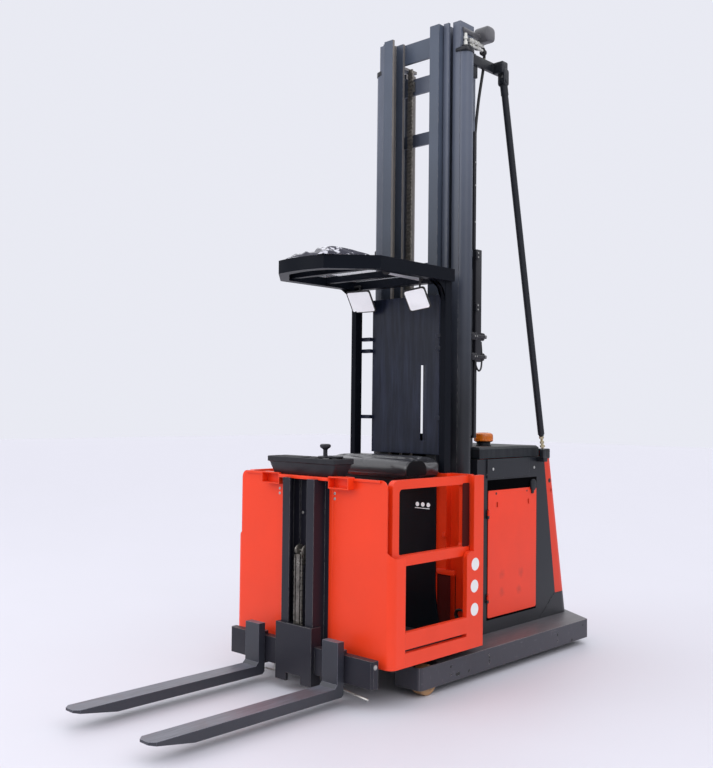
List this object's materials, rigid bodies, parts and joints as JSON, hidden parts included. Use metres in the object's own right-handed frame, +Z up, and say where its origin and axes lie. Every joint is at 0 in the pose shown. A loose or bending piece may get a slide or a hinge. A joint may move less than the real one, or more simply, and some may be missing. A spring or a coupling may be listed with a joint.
{
  "type": "high-level order picker",
  "caption": "Electric order picker: operator cabin with forks on a short lift, carried by a three-stage mast on a low chassis with a battery tower.",
  "frame": {"origin": "centre of the bounding box, on the floor", "axes": "+X to the side seen in the picture, -Y along the forks, +Z up"},
  "size_m": [1.32, 3.736, 4.244],
  "materials": {
    "red_paint": "satin",
    "slate_paint": "satin",
    "worn_slate": "worn satin",
    "black_plastic": "matt",
    "grease_steel": "greased",
    "rod_chrome": "polished",
    "amber": "gloss",
    "polyurethane": "satin",
    "drive_tread": "matt",
    "hub_metal": "satin",
    "pad_cover": "soft",
    "clear_pane": "gloss",
    "mirror_face": "gloss"
  },
  "bodies": {
    "truck": {"chassis": "worn_slate", "battery_block": "black_plastic", "tower_frame": "slate_paint", "rear_hood": "red_paint", "outer_mast": "slate_paint", "lift_barrels": "slate_paint", "mast_strut": "slate_paint", "mast_head_box": "black_plastic", "rear_duct": "black_plastic"},
    "battery_lid": {"tower_lid": "slate_paint", "beacon": "amber"},
    "door_left": {"battery_door_left": "red_paint"},
    "door_right": {"battery_door_right": "red_paint"},
    "wheel_left": {"load_hub_left": "hub_metal", "load_tyre_left": "polyurethane"},
    "wheel_right": {"load_hub_right": "hub_metal", "load_tyre_right": "polyurethane"},
    "drive_turntable": {"drive_unit": "hub_metal"},
    "drive_wheel": {"drive_hub": "hub_metal", "drive_tyre": "drive_tread"},
    "mast_middle": {"middle_mast": "slate_paint", "lift_rods": "rod_chrome", "lift_chains": "grease_steel"},
    "mast_inner": {"inner_mast": "slate_paint"},
    "cabin": {"cabin_floor": "black_plastic", "front_skins": "red_paint", "cabin_frame": "red_paint", "centre_cover": "black_plastic", "mast_carriage": "slate_paint", "seat_pad": "pad_cover", "guard_frame": "slate_paint", "guard_panes": "clear_pane", "back_shield": "black_plastic", "work_lamp": "black_plastic", "mirrors": "mirror_face", "console": "black_plastic", "aux_mast": "slate_paint"},
    "gate_l": {"gate_left": "red_paint"},
    "gate_r": {"gate_right": "red_paint"},
    "steering": {"steering_disc": "black_plastic"},
    "aux_lift": {"aux_rod": "rod_chrome", "aux_chains": "grease_steel"},
    "carriage": {"fork_carriage": "worn_slate"},
    "fork_l": {"fork_left": "worn_slate"},
    "fork_r": {"fork_right": "worn_slate"}
  },
  "joints": [
    {"name": "lift_middle", "type": "slide", "parent": "truck", "child": "mast_middle", "axis": [0, 0, 1], "range_m": [0, 2.7]},
    {"name": "lift_inner", "type": "slide", "parent": "mast_middle", "child": "mast_inner", "axis": [0, 0, 1], "range_m": [0, 2.7]},
    {"name": "lift_cabin", "type": "slide", "parent": "mast_inner", "child": "cabin", "axis": [0, 0, 1], "range_m": [0, 2.7]},
    {"name": "aux_lift", "type": "slide", "parent": "cabin", "child": "carriage", "axis": [0, 0, 1], "range_m": [0, 0.72]},
    {"name": "aux_rod_lift", "type": "slide", "parent": "cabin", "child": "aux_lift", "axis": [0, 0, 1], "range_m": [0, 0.36]},
    {"name": "fork_shift_left", "type": "slide", "parent": "carriage", "child": "fork_l", "axis": [1, 0, 0], "range_m": [-0.2, 0.1]},
    {"name": "fork_shift_right", "type": "slide", "parent": "carriage", "child": "fork_r", "axis": [1, 0, 0], "range_m": [-0.1, 0.2]},
    {"name": "gate_left_lift", "type": "hinge", "parent": "cabin", "child": "gate_l", "pos_m": [-0.606, 0.288, 0.81], "axis": [-1, 0, 0], "range_deg": [0, 80]},
    {"name": "gate_right_lift", "type": "hinge", "parent": "cabin", "child": "gate_r", "pos_m": [0.606, 0.288, 0.81], "axis": [-1, 0, 0], "range_deg": [0, 80]},
    {"name": "steering_turn", "type": "hinge", "parent": "cabin", "child": "steering", "pos_m": [0.15, -0.467, 1.392], "axis": [0, 0, 1], "continuous": true},
    {"name": "battery_lid_open", "type": "hinge", "parent": "truck", "child": "battery_lid", "pos_m": [0, 1.43, 1.356], "axis": [-1, 0, 0], "range_deg": [0, 55]},
    {"name": "door_left_open", "type": "hinge", "parent": "truck", "child": "door_left", "pos_m": [-0.395, 0.792, 0.7], "axis": [0, 0, 1], "range_deg": [0, 90]},
    {"name": "door_right_open", "type": "hinge", "parent": "truck", "child": "door_right", "pos_m": [0.395, 0.792, 0.7], "axis": [0, 0, -1], "range_deg": [0, 90]},
    {"name": "load_wheel_left_spin", "type": "hinge", "parent": "truck", "child": "wheel_left", "pos_m": [-0.568, -0.093, 0.088], "axis": [1, 0, 0], "continuous": true},
    {"name": "load_wheel_right_spin", "type": "hinge", "parent": "truck", "child": "wheel_right", "pos_m": [0.568, -0.093, 0.088], "axis": [1, 0, 0], "continuous": true},
    {"name": "drive_steer", "type": "hinge", "parent": "truck", "child": "drive_turntable", "pos_m": [0, 1.503, 0.5], "axis": [0, 0, 1], "range_deg": [-90, 90]},
    {"name": "drive_wheel_spin", "type": "hinge", "parent": "drive_turntable", "child": "drive_wheel", "pos_m": [0, 1.503, 0.165], "axis": [1, 0, 0], "continuous": true}
  ],
  "couplings": [
    {"joint": "lift_inner", "follows": "lift_middle", "ratio": 1},
    {"joint": "lift_cabin", "follows": "lift_middle", "ratio": 1},
    {"joint": "aux_rod_lift", "follows": "aux_lift", "ratio": 0.5}
  ]
}
